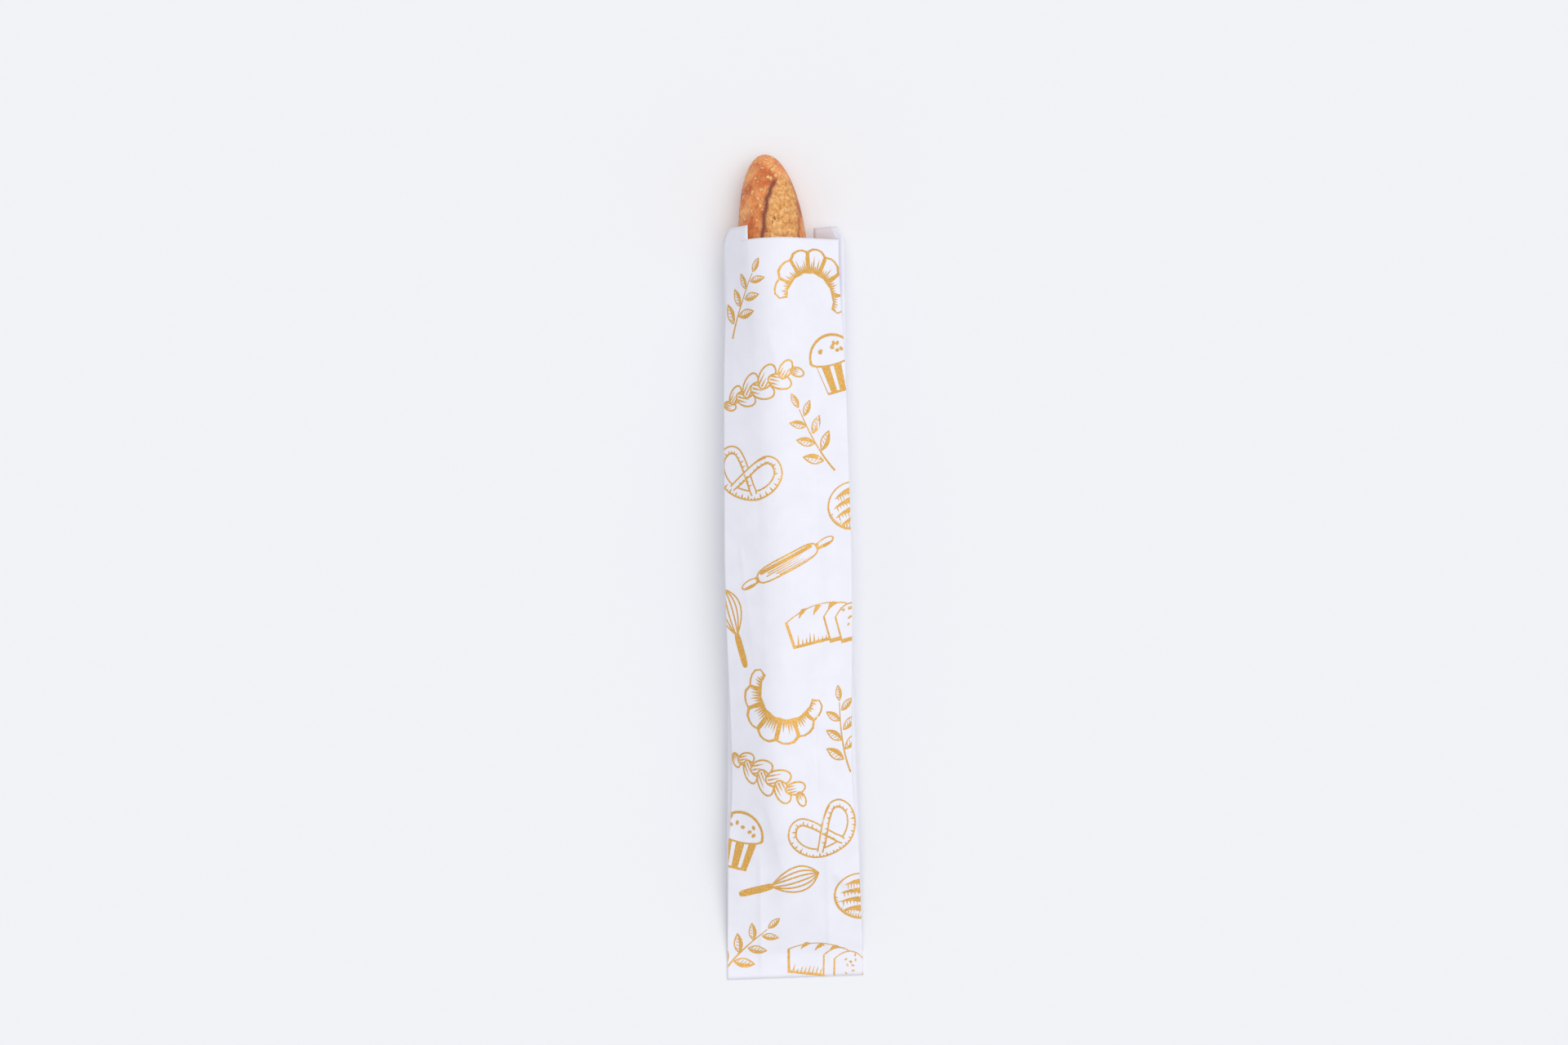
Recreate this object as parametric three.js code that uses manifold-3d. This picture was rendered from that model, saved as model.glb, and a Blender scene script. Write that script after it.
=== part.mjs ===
// Paper baguette bag with its loaf, lying on its back panel.
// Millimetres, +Z up. The bag runs along +Y from its folded bottom to its mouth, with the
// table at z = 0 and the origin there, under the middle of the whole.

import * as THREE from "three";
import Module from "manifold-3d";
import { ParametricGeometry } from "three/addons/geometries/ParametricGeometry.js";
import { mergeVertices } from "three/addons/utils/BufferGeometryUtils.js";

// The bag as it is folded from one sheet
const bagLength = 540; // bottom fold to front lip
const faceWidth = 100; // front and back panel
const gussetDepth = 25; // each half of a side gusset
const paperWall = 0.15; // a single layer, with its creases' spring
const layerGap = 0.15; // air between layers pressed flat
const bottomLap = 18; // turned under and glued
const lapThickness = 0.5; // the turned part, under the back panel
const earLength = 10; // gussets stand past the lips by this
const earSlant = 6; // their cut corners, along the leaf
const cutSkew = 1.9; // both cut ends run out of square, across the face

// How the bag stands open round the loaf
const mouthLift = 3.6; // front lip above the crust
const mouthLiftReach = 110; // and how far in that lift dies away
const mouthLean = 1.2; // front panel pulled to the left at the mouth
const mouthCrease = 20; // height of the back creases at the mouth
const middleCrease = 19; // and half way along
const footCrease = 14; // and where the loaf ends
const mouthSpread = 1.5; // height between front and back crease at the mouth
const middleSpread = 8.5;
const footSpread = 6;
const gussetDrop = 100; // the right gusset falls to the back panel this near the mouth
const gussetBow = 2.5; // and bows off the loaf on its way down

// The loaf
const loafLength = 520;
const loafWidth = 54;
const loafHeight = 44;
const bellyHeight = 15; // the widest part, above its underside
const underSquareness = 0.78; // power of the section's curve: 1 is round, less is squarer
const topSquareness = 0.96;
const loafPeep = 64; // how far its tip stands out of the mouth
const loafTaper = 200; // each end narrows over this length
const endFullness = 5.2; // how blunt the ends are
const loafLeft = 5; // its middle lies left of the bag's
const tipLeft = 8; // and its tip bends this much further
const crustGap = 0.42; // crust to paper
const slashCount = 5;
const slashLength = 118;
const slashWidth = 25;
const slashDepth = 2.2;
const slashTurn = -0.13; // slant of each slash to the loaf, in radians
const slashSetback = 17; // bare crust before the first slash
const slashSpread = 0.92; // slashes overlap a little
const slashOffset = 5; // slashes lie right of the loaf's ridge
const slashFullness = 3.5; // how blunt a slash's ends are
const ridgeHeight = 1.6; // lip of crust that lifts at a slash's left edge
const ridgeWidth = 3;

// Facets
const panelSteps = 14;
const leafSteps = 4;
const stationStep = 17;
const loafSteps = 66;
const loafSides = 44;

const wasm = await Module();
wasm.setup();

// Small helpers
const lerp = (a, b, t) => a + (b - a) * t;
const clamp = (v, low, high) => Math.min(high, Math.max(low, v));
const smooth = (t) => {
  const s = clamp(t, 0, 1);
  return s * s * (3 - 2 * s);
};

// A value that eases between the loaf's foot, the middle and the mouth.
function along(y, foot, middle, mouth) {
  const half = (bagLength + loafFoot) / 2;
  if (y < half) return lerp(foot, middle, smooth((y - loafFoot) / (half - loafFoot)));
  return lerp(middle, mouth, clamp((y - half) / (bagLength - half), 0, 1));
}

const loafTip = bagLength + loafPeep;
const loafFoot = loafTip - loafLength;
const loafUnder = paperWall + crustGap;

// Share of the loaf's full girth at a distance from either end.
function endShare(distance) {
  const t = clamp(distance / loafTaper, 0, 1);
  return Math.sqrt(Math.max(0, 1 - Math.pow(1 - t, endFullness)));
}

function loafShare(y) {
  return endShare(Math.min(loafTip - y, y - loafFoot));
}

function loafMiddle(y) {
  const half = (loafTip + loafFoot) / 2;
  const t = clamp((y - half) / (loafTip - half), 0, 1);
  return -loafLeft - tipLeft * t * t * t;
}

// A point on the loaf's section, grown by a clearance. Turn 0 is its right side.
function loafPoint(y, turn, grow) {
  const share = loafShare(y);
  const half = (loafWidth / 2) * share;
  const up = (loafHeight - bellyHeight) * share;
  const down = bellyHeight * Math.pow(share, 0.6);
  const c = Math.cos(turn);
  const s = Math.sin(turn);
  const square = s < 0 ? underSquareness : topSquareness;
  const x = Math.sign(c) * Math.pow(Math.abs(c), square) * (half + grow);
  const z = Math.sign(s) * Math.pow(Math.abs(s), square) * ((s < 0 ? down : up) + grow);
  return [loafMiddle(y) + x, loafUnder + bellyHeight + z];
}

// Turn of three points: above 0 where they turn left.
const turnOf = (a, b, c) => (b[0] - a[0]) * (c[1] - a[1]) - (b[1] - a[1]) * (c[0] - a[0]);

// The taut line from one point to another over (side 1) or under (side -1) a core.
function tautLine(from, to, core, side) {
  const low = Math.min(from[0], to[0]);
  const high = Math.max(from[0], to[0]);
  const inner = core.filter((p) => p[0] > low && p[0] < high);
  const points = [from, ...inner, to].sort((a, b) => a[0] - b[0]);
  const line = [];
  for (const p of points) {
    while (line.length > 1 && side * turnOf(line.at(-2), line.at(-1), p) >= 0) line.pop();
    line.push(p);
  }
  return from[0] <= to[0] ? line : line.reverse();
}

function lengthOf(line) {
  let sum = 0;
  for (let i = 1; i < line.length; i++) {
    sum += Math.hypot(line[i][0] - line[i - 1][0], line[i][1] - line[i - 1][1]);
  }
  return sum;
}

// The point at a distance along a line.
function pointAt(line, distance) {
  let left = distance;
  for (let i = 1; i < line.length; i++) {
    const step = Math.hypot(line[i][0] - line[i - 1][0], line[i][1] - line[i - 1][1]);
    if (left <= step || i === line.length - 1) {
      const t = step > 0 ? Math.min(1, left / step) : 0;
      return [lerp(line[i - 1][0], line[i][0], t), lerp(line[i - 1][1], line[i][1], t)];
    }
    left -= step;
  }
  return line.at(-1);
}

function spaced(line, steps) {
  const whole = lengthOf(line);
  return Array.from({ length: steps + 1 }, (_, i) => pointAt(line, (whole * i) / steps));
}

// A panel drawn taut over or under the core, its creases as far apart as its width lets them.
function panel(core, middle, creaseHeight, side) {
  let narrow = 0;
  let wide = faceWidth / 2;
  const build = (half) =>
    tautLine([middle - half, creaseHeight], [middle + half, creaseHeight], core, side);
  for (let i = 0; i < 40; i++) {
    const half = (narrow + wide) / 2;
    if (lengthOf(build(half)) > faceWidth) wide = half;
    else narrow = half;
  }
  return build(narrow);
}

// Thickness of two layers and the air between them
const creaseGap = 2 * paperWall + layerGap;

function coreOf(y, grow) {
  const count = 48;
  return Array.from({ length: count }, (_, i) => {
    const p = loafPoint(y, ((i + 0.5) / count) * 2 * Math.PI, grow);
    return [p[0], Math.max(0, p[1])];
  });
}

// Leaves of a gusset that lies up against the front panel: crease, fold, crease.
function raisedGusset(front, frontCrease, backCrease, y) {
  const fold = pointAt(front, gussetDepth);
  fold[1] -= creaseGap;
  const inner = coreOf(y, crustGap + paperWall);
  const foldUnder = [fold[0], fold[1] - layerGap];
  return [spaced([frontCrease, fold], leafSteps),
    spaced(tautLine(foldUnder, backCrease, inner, 1), leafSteps)];
}

// Leaves of a gusset that lies down on the back panel.
function fallenGusset(back, frontCrease, backCrease) {
  const fold = pointAt(back, gussetDepth);
  fold[1] += creaseGap;
  const foldOver = [fold[0], fold[1] + layerGap];
  return [spaced([frontCrease, foldOver], leafSteps), spaced([fold, backCrease], leafSteps)];
}

const blend = (a, b, t) => a.map((p, i) => [lerp(p[0], b[i][0], t), lerp(p[1], b[i][1], t)]);

// The bag's outer skin where the loaf holds it open: points from the left front crease
// over the front panel, in and out of the right gusset, back under and through the left one.
function openSection(y) {
  const lift = mouthLift * smooth((y - bagLength + mouthLiftReach) / mouthLiftReach);
  const cover = crustGap + 3 * paperWall + 2 * layerGap;
  const over = coreOf(y, cover).map((p) => [p[0], p[1] + lift]);
  const under = coreOf(y, crustGap + paperWall);
  const lean = mouthLean * clamp((y - loafFoot) / (bagLength - loafFoot), 0, 1);
  const backHeight = along(y, footCrease, middleCrease, mouthCrease);
  const frontHeight = backHeight + along(y, footSpread, middleSpread, mouthSpread);
  const front = panel(over, -lean, frontHeight, 1);
  const back = panel(under, 0, backHeight, -1);
  const rightUp = raisedGusset([...front].reverse(), dropped(front.at(-1)), raised(back.at(-1)), y);
  const rightDown = fallenGusset([...back].reverse(), dropped(front.at(-1)), raised(back.at(-1)));
  const fall = smooth((y - bagLength + gussetDrop) / (0.8 * gussetDrop));
  const bow = gussetBow * 4 * fall * (1 - fall);
  const right = [0, 1].map((leaf) =>
    blend(rightUp[leaf], rightDown[leaf], fall).map((p, i) => {
      const share = leaf === 0 ? i / leafSteps : 1 - i / leafSteps;
      return [p[0] + bow * share, p[1]];
    }),
  );
  const left = raisedGusset(front, dropped(front[0]), raised(back[0]), y);
  return ring(spaced(front, panelSteps), right, spaced(back, panelSteps), left);
}

const dropped = (p) => [p[0], p[1] - creaseGap];
const raised = (p) => [p[0], p[1] + creaseGap];

// One closed run of points: front, right gusset, back from right to left, left gusset.
function ring(front, right, back, left) {
  return [
    ...front,
    ...right[0],
    ...right[1],
    ...[...back].reverse(),
    ...[...left[1]].reverse(),
    ...[...left[0]].reverse(),
  ];
}

// The pressed section at the glued bottom, every layer level.
function flatSection() {
  const half = faceWidth / 2;
  const level = (z, from, to, steps) => spaced([[from, z], [to, z]], steps);
  const base = lapThickness;
  const top = base + stackHeight;
  const fold = half - gussetDepth;
  const upper = top - creaseGap;
  const lower = base + creaseGap;
  return ring(
    level(top, -half, half, panelSteps),
    [level(upper, half, fold, leafSteps), level(lower, fold, half, leafSteps)],
    level(base, -half, half, panelSteps),
    [level(upper, -half, -fold, leafSteps), level(lower, -fold, -half, leafSteps)],
  );
}

// Four layers and the air between them
const stackHeight = 4 * paperWall + 3 * layerGap;

// Where a straight rise from the glued bottom first touches the loaf's back.
function touchStation() {
  let best = loafFoot;
  let steepest = -Infinity;
  for (let y = loafFoot + 1; y < loafFoot + loafTaper; y += 1) {
    const top = loafPoint(y, Math.PI / 2, crustGap + creaseGap)[1];
    const slope = (top - stackHeight - lapThickness) / (y - bottomLap);
    if (slope > steepest) {
      steepest = slope;
      best = y;
    }
  }
  return best;
}

const touch = touchStation();
const touchSection = openSection(touch);
const pressedSection = flatSection();

// Outer skin at a distance from the bottom
function sectionAt(y) {
  if (y >= touch) return openSection(y);
  return blend(pressedSection, touchSection, clamp((y - bottomLap) / (touch - bottomLap), 0, 1));
}

// The inner skin: each point moved in by the paper's wall, mitred at the creases.
function innerSkin(points) {
  const count = points.length;
  return points.map((p, i) => {
    const before = points[(i + count - 1) % count];
    const after = points[(i + 1) % count];
    const a = unit(p[0] - before[0], p[1] - before[1]);
    const b = unit(after[0] - p[0], after[1] - p[1]);
    const normal = unit(a[1] + b[1], -a[0] - b[0]);
    const cosine = Math.max(0.45, normal[0] * a[1] - normal[1] * a[0]);
    return [p[0] + (normal[0] * paperWall) / cosine, p[1] + (normal[1] * paperWall) / cosine];
  });
}

function unit(x, z) {
  const length = Math.hypot(x, z) || 1;
  return [x / length, z / length];
}

// How far each point of a section stands past the lips, as share of the ear's length
function earShares() {
  const leaf = Array.from({ length: leafSteps + 1 }, (_, i) =>
    clamp(((i / leafSteps) * gussetDepth) / earSlant, 0, 1),
  );
  const leaves = [leaf, [...leaf].reverse()];
  const flat = new Array(panelSteps + 1).fill(0);
  return ring(flat, leaves, flat, leaves);
}

function stations() {
  const list = [bottomLap - 4];
  const lower = Math.max(3, Math.round((touch - bottomLap) / stationStep));
  for (let i = 0; i <= lower; i++) list.push(lerp(bottomLap, touch, i / lower));
  const upper = Math.max(6, Math.round((bagLength - touch) / stationStep));
  for (let i = 1; i < upper; i++) list.push(lerp(touch, bagLength, i / upper));
  list.push(bagLength - earLength, bagLength);
  return [...new Set(list)].sort((a, b) => a - b);
}

// A closed surface over a grid of points that joins up both ways.
function closedGrid(rows, wrap) {
  const last = rows.length - (wrap ? 0 : 1);
  const around = rows[0].length;
  const place = (u, v, target) => {
    const row = rows[Math.round(v * last) % rows.length];
    const p = row[Math.round(u * around) % around];
    target.set(p[0], p[1], p[2]);
  };
  return new ParametricGeometry(place, around, last);
}

// Facets of the rows past one are split along their other diagonal, so that the inner skin's
// facets lie behind the outer skin's.
function matchFacets(geometry, around, fromRow) {
  const index = geometry.index.array;
  const start = fromRow * around * 6;
  for (let i = start; i < index.length; i += 6) {
    const [a, b, d, c] = [index[i], index[i + 1], index[i + 2], index[i + 4]];
    index.set([a, b, c, a, c, d], i);
  }
  return geometry;
}

// A solid of a closed geometry, its shared corners joined and collapsed facets dropped
function solidOf(geometry) {
  geometry.deleteAttribute("normal");
  geometry.deleteAttribute("uv");
  const joined = mergeVertices(geometry, 1e-4);
  const index = joined.index.array;
  const kept = [];
  for (let i = 0; i < index.length; i += 3) {
    const [a, b, c] = [index[i], index[i + 1], index[i + 2]];
    if (a !== b && b !== c && c !== a) kept.push(a, b, c);
  }
  const vertProperties = joined.getAttribute("position").array;
  const make = (list) =>
    new wasm.Manifold(new wasm.Mesh({ numProp: 3, vertProperties, triVerts: new Uint32Array(list) }));
  const solid = make(kept);
  if (solid.volume() > 0) return solid;
  for (let i = 0; i < kept.length; i += 3) [kept[i], kept[i + 1]] = [kept[i + 1], kept[i]];
  return make(kept);
}

function geometryOf(solid) {
  const mesh = solid.getMesh();
  const geometry = new THREE.BufferGeometry();
  geometry.setAttribute("position", new THREE.BufferAttribute(mesh.vertProperties, 3));
  geometry.setIndex(new THREE.BufferAttribute(mesh.triVerts, 1));
  geometry.computeVertexNormals();
  return geometry;
}

// Front and back panels, gussets and mouth
function bagTube() {
  const shares = earShares();
  const outer = [];
  const inner = [];
  for (const y of stations()) {
    const skin = sectionAt(y);
    const stretch = clamp((y - (bagLength - 2 * earLength)) / (2 * earLength), 0, 1);
    const place = (p, i) => {
      const skew = (cutSkew * p[0]) / faceWidth;
      return [p[0], y + stretch * shares[i] * earLength + skew, p[1]];
    };
    outer.push(skin.map(place));
    inner.push(innerSkin(skin).map(place));
  }
  const skins = closedGrid([...outer, ...inner.reverse()], true);
  return solidOf(matchFacets(skins, outer[0].length, outer.length));
}

// The bottom pressed flat, turned under the back panel and glued
function gluedBottom() {
  const height = lapThickness + stackHeight;
  const outline = new THREE.Shape();
  const half = faceWidth / 2;
  const drop = cutSkew / 2;
  outline.moveTo(-half, -drop);
  outline.lineTo(half, drop);
  outline.lineTo(half, bottomLap + drop);
  outline.lineTo(-half, bottomLap - drop);
  outline.closePath();
  const slab = new THREE.ExtrudeGeometry(outline, { depth: height, bevelEnabled: false });
  return solidOf(slab);
}

// Depth of the slashes at a point of the crust, above 0 where the crust lifts
function slashAt(y, turn) {
  if (Math.sin(turn) <= 0) return 0;
  const pitch = (loafLength - slashLength) / (slashCount - 1);
  const x = Math.cos(turn) * (loafWidth / 2) * loafShare(y);
  let depth = 0;
  for (let i = 0; i < slashCount; i++) {
    const middle = loafTip - slashLength / 2 - i * pitch * slashSpread - slashSetback;
    const u = (y - middle) * Math.cos(slashTurn) - x * Math.sin(slashTurn);
    const v = x * Math.cos(slashTurn) + (y - middle) * Math.sin(slashTurn) - slashOffset;
    const reach = 1 - Math.pow(Math.abs(u) / (slashLength / 2), slashFullness);
    if (reach <= 0) continue;
    const half = (slashWidth / 2) * Math.sqrt(reach);
    if (Math.abs(v) < half) depth -= slashDepth * reach * (1 - Math.pow(v / half, 2));
    const lip = (v + half) / ridgeWidth;
    depth += ridgeHeight * reach * Math.exp(-lip * lip);
  }
  return depth;
}

function loafBody() {
  const rows = [];
  for (let i = 0; i <= loafSteps; i++) {
    const t = i / loafSteps;
    const y = loafFoot + (loafLength * (1 - Math.cos(Math.PI * t))) / 2;
    const row = [];
    for (let j = 0; j < loafSides; j++) {
      const turn = (j / loafSides) * 2 * Math.PI;
      const p = loafPoint(y, turn, 0);
      const cut = slashAt(y, turn) * loafShare(y) - ridgeHeight * Math.max(0, Math.sin(turn)) * 0.8;
      const end = loafShare(y);
      row.push([p[0] + Math.cos(turn) * cut * end, y, p[1] + Math.sin(turn) * cut * end]);
    }
    rows.push(row);
  }
  return solidOf(closedGrid(rows, false));
}

function piece(name, solid, colour, roughness) {
  const material = new THREE.MeshStandardMaterial({ color: colour, roughness, metalness: 0 });
  const mesh = new THREE.Mesh(geometryOf(solid), material);
  mesh.name = name;
  return mesh;
}

// Distances along the bag are measured from its bottom, then the whole is centred.
const group = new THREE.Group();
group.position.y = -(loafTip - cutSkew / 2) / 2;
group.add(piece("paper_bag", bagTube().add(gluedBottom()), "#e8e8f1", 0.8));
group.add(piece("baguette", loafBody(), "#b8672f", 0.7));

export default group;
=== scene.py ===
# Paper baguette bag with its loaf, lying on a pale table
import math
import random
import bpy
import bmesh
import numpy as np
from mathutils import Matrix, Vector, noise
from mathutils.geometry import delaunay_2d_cdt


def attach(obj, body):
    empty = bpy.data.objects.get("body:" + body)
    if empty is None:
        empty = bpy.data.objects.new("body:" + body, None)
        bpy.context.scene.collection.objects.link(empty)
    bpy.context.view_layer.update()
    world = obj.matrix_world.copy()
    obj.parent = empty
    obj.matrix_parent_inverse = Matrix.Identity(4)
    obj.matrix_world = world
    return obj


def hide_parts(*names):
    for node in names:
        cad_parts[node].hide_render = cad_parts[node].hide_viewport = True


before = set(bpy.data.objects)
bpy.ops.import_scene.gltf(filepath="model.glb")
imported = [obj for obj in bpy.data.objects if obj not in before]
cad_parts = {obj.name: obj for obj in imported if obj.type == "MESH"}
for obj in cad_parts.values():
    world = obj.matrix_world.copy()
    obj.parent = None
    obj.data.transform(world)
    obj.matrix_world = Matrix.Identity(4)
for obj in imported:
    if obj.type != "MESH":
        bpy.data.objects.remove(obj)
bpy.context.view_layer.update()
print("frame loaded")

mm = 0.001

bag = {
    "length": 540, "face": 100, "gusset": 25, "creaseGap": 0.45, "layerGap": 0.15,
    "stack": 1.05, "lap": 18, "lapThickness": 0.5, "wall": 0.12,
    "earLength": 10, "earSlant": 6, "skew": 1.9, "tooth": 0.45,
    "lift": 3.6, "liftReach": 110, "lean": 1.2,
    "backCrease": (14, 19, 20), "spread": (6, 8.5, 1.5),  # at the loaf's foot, half way, at the mouth
    "drop": 100, "bow": 2.5, "leafDip": -0.12, "openDip": -1.2,
    "lapShy": 0.1, "lapRound": 0.2, "firstRow": 0.2, "lipReach": 6,
    "panelSteps": 96, "leafSteps": 8, "rowStep": 2.7, "coreSteps": 48, "halvings": 24,
}

loaf = {
    "length": 520, "width": 54, "height": 44, "belly": 15, "peep": 64, "taper": 200,
    "endFullness": 5.2, "underSquareness": 0.78, "topSquareness": 0.96, "underTaper": 0.6,
    "left": 5, "tipLeft": 8, "gap": 0.42, "rest": 0.57, "wall": 0.15,
    "sides": 190, "rings": 400,
    "slashes": 5, "slashLength": 118, "slashWidth": 25, "slashDepth": 2.2, "slashTurn": -0.13,
    "slashFullness": 3.5, "slashEdge": 1.1, "ridge": 1.6, "ridgeWidth": 3,
    "setback": 17, "spread": 0.92, "offset": 5,
}

loafTip = bag["length"] + loaf["peep"]
loafFoot = loafTip - loaf["length"]
halfWay = (bag["length"] + loafFoot) / 2
yMiddle = (loafTip - bag["skew"] / 2) / 2  # the frame's origin, from the bag's bottom


def lerp(a, b, t):
    return a + (b - a) * t


def clamp(v, low, high):
    return min(high, max(low, v))


def smooth(t):
    s = clamp(t, 0, 1)
    return s * s * (3 - 2 * s)


def srgb(code):
    # a hex colour as Blender's linear values
    parts = [int(code[i:i + 2], 16) / 255 for i in (1, 3, 5)]
    return tuple(c / 12.92 if c <= 0.04045 else ((c + 0.055) / 1.055) ** 2.4 for c in parts) + (1.0,)


# The loaf's form, from which the paper takes its own

def loafShare(y):
    d = min(loafTip - y, y - loafFoot)
    t = clamp(d / loaf["taper"], 0, 1)
    return math.sqrt(max(0, 1 - (1 - t) ** loaf["endFullness"]))


def loafMiddle(y):
    half = (loafTip + loafFoot) / 2
    t = clamp((y - half) / (loafTip - half), 0, 1)
    return -loaf["left"] - loaf["tipLeft"] * t ** 3


def loafPoint(y, turn, grow):
    share = loafShare(y)
    half = loaf["width"] / 2 * share
    up = (loaf["height"] - loaf["belly"]) * share
    down = loaf["belly"] * share ** loaf["underTaper"]
    c, s = math.cos(turn), math.sin(turn)
    square = loaf["underSquareness"] if s < 0 else loaf["topSquareness"]
    x = math.copysign(abs(c) ** square, c) * (half + grow)
    z = math.copysign(abs(s) ** square, s) * ((down if s < 0 else up) + grow)
    return (loafMiddle(y) + x, loaf["rest"] + loaf["belly"] + z)


# The paper's section: taut lines over and under the loaf

def tautLine(start, end, core, side):
    low, high = min(start[0], end[0]), max(start[0], end[0])
    points = sorted([start, end] + [p for p in core if low < p[0] < high])
    line = []
    for p in points:
        while len(line) > 1:
            a, b = line[-2], line[-1]
            if side * ((b[0] - a[0]) * (p[1] - a[1]) - (b[1] - a[1]) * (p[0] - a[0])) < 0:
                break
            line.pop()
        line.append(p)
    return line if start[0] <= end[0] else line[::-1]


def lengthOf(line):
    return sum(math.dist(a, b) for a, b in zip(line, line[1:]))


def pointAt(line, distance):
    left = distance
    for a, b in zip(line, line[1:]):
        step = math.dist(a, b)
        if left <= step and step > 0:
            return (lerp(a[0], b[0], left / step), lerp(a[1], b[1], left / step))
        left -= step
    return line[-1]


def spaced(line, steps):
    whole = lengthOf(line)
    return [pointAt(line, whole * i / steps) for i in range(steps + 1)]


def panel(core, middle, height, side):
    narrow, wide = 0, bag["face"] / 2
    for _ in range(bag["halvings"]):
        half = (narrow + wide) / 2
        line = tautLine((middle - half, height), (middle + half, height), core, side)
        if lengthOf(line) > bag["face"]:
            wide = half
        else:
            narrow = half
    return tautLine((middle - narrow, height), (middle + narrow, height), core, side)


def coreOf(y, grow):
    steps = bag["coreSteps"]
    points = [loafPoint(y, (i + 0.5) / steps * 2 * math.pi, grow) for i in range(steps)]
    return [(x, max(0, z)) for x, z in points]


def moved(p, dz):
    return (p[0], p[1] + dz)


def blend(a, b, t):
    return [(lerp(p[0], q[0], t), lerp(p[1], q[1], t)) for p, q in zip(a, b)]


def raisedGusset(front, frontCrease, backCrease, y):
    fold = moved(pointAt(front, bag["gusset"]), -bag["creaseGap"])
    inner = coreOf(y, loaf["gap"] + loaf["wall"])
    under = moved(fold, -bag["layerGap"])
    n = bag["leafSteps"]
    return [spaced([frontCrease, fold], n), spaced(tautLine(under, backCrease, inner, 1), n)]


def fallenGusset(back, frontCrease, backCrease):
    fold = moved(pointAt(back, bag["gusset"]), bag["creaseGap"])
    over = moved(fold, bag["layerGap"])
    n = bag["leafSteps"]
    return [spaced([frontCrease, over], n), spaced([fold, backCrease], n)]


def ring(front, right, back, left):
    return front + right[0] + right[1] + back[::-1] + left[1][::-1] + left[0][::-1]


def along(y, foot, middle, mouth):
    if y < halfWay:
        return lerp(foot, middle, smooth((y - loafFoot) / (halfWay - loafFoot)))
    return lerp(middle, mouth, clamp((y - halfWay) / (bag["length"] - halfWay), 0, 1))


def openSection(y):
    lift = bag["lift"] * smooth((y - bag["length"] + bag["liftReach"]) / bag["liftReach"])
    cover = loaf["gap"] + 3 * loaf["wall"] + 2 * bag["layerGap"]
    over = [moved(p, lift) for p in coreOf(y, cover)]
    under = coreOf(y, loaf["gap"] + loaf["wall"])
    lean = bag["lean"] * clamp((y - loafFoot) / (bag["length"] - loafFoot), 0, 1)
    backHeight = along(y, *bag["backCrease"])
    frontHeight = backHeight + along(y, *bag["spread"])
    front = panel(over, -lean, frontHeight, 1)
    back = panel(under, 0, backHeight, -1)
    gap = bag["creaseGap"]
    creases = (moved(front[-1], -gap), moved(back[-1], gap))
    up = raisedGusset(front[::-1], *creases, y)
    down = fallenGusset(back[::-1], *creases)
    fall = smooth((y - bag["length"] + bag["drop"]) / (0.8 * bag["drop"]))
    bow = bag["bow"] * 4 * fall * (1 - fall)
    n = bag["leafSteps"]
    right = [
        [(x + bow * i / n, z) for i, (x, z) in enumerate(blend(up[0], down[0], fall))],
        [(x + bow * (1 - i / n), z) for i, (x, z) in enumerate(blend(up[1], down[1], fall))],
    ]
    left = raisedGusset(front, moved(front[0], -gap), moved(back[0], gap), y)
    return ring(spaced(front, bag["panelSteps"]), right, spaced(back, bag["panelSteps"]), left)


def flatSection():
    half = bag["face"] / 2
    top = bag["lapThickness"] + bag["stack"]
    fold = half - bag["gusset"]
    upper, lower = top - bag["creaseGap"], bag["lapThickness"] + bag["creaseGap"]
    n, m = bag["leafSteps"], bag["panelSteps"]

    def level(z, start, end, steps):
        return spaced([(start, z), (end, z)], steps)

    return ring(
        level(top, -half, half, m),
        [level(upper, half, fold, n), level(lower, fold, half, n)],
        level(bag["lapThickness"], -half, half, m),
        [level(upper, -half, -fold, n), level(lower, -fold, -half, n)],
    )


def touchStation():
    best, steepest = loafFoot, -1
    for step in range(1, loaf["taper"]):
        y = loafFoot + step
        top = loafPoint(y, math.pi / 2, loaf["gap"] + bag["creaseGap"])[1]
        slope = (top - bag["stack"] - bag["lapThickness"]) / (y - bag["lap"])
        if slope > steepest:
            steepest, best = slope, y
    return best


touch = touchStation()
touchSection = openSection(touch)
pressedSection = flatSection()


def sectionAt(y):
    if y >= touch:
        return openSection(y)
    return blend(pressedSection, touchSection, clamp((y - bag["lap"]) / (touch - bag["lap"]), 0, 1))


# Creases and soft waves that the paper took from folding and from the loaf
# (start s, start y, end s, end y, height, width), with s across the front panel from its left crease
creases = [
    (75.5, 450, 77.5, 280, 1.7, 2.6),
    (77, 285, 73, 205, 1.2, 2.4),
    (66, 230, 73, 118, -1.3, 3.2),
    (71, 215, 75, 90, 2.6, 3.6),
    (60, 190, 64, 95, 1.1, 2.2),
    (24.5, 95, 25, 4, 1.3, 1.8),
    (75, 96, 75, 6, 0.9, 1.8),
    (78, 80, 101, 58, 1.7, 2.2),
    (30, 135, 46, 66, 0.9, 3.4),
    (48, 160, 58, 40, -1.0, 5.0),
    (88, 160, 96, 90, -1.1, 3.0),
    (12, 330, 22, 240, 0.8, 3.2),
    (38, 480, 54, 400, 0.8, 3.4),
]


def creaseLift(s, y):
    # each crease falls steeply on its left and slowly on its right
    lift = 0
    for s0, y0, s1, y1, height, width in creases:
        ax, ay = s1 - s0, y1 - y0
        t = clamp(((s - s0) * ax + (y - y0) * ay) / (ax * ax + ay * ay), 0, 1)
        d = math.hypot(s - s0 - ax * t, y - y0 - ay * t)
        slow = 0.35 if (s - s0) * ay < (y - y0) * ax else 1
        ends = smooth(min(t, 1 - t) * 4 + 0.25)
        lift += height * math.exp(-d * slow / width) * ends
    return lift


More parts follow.
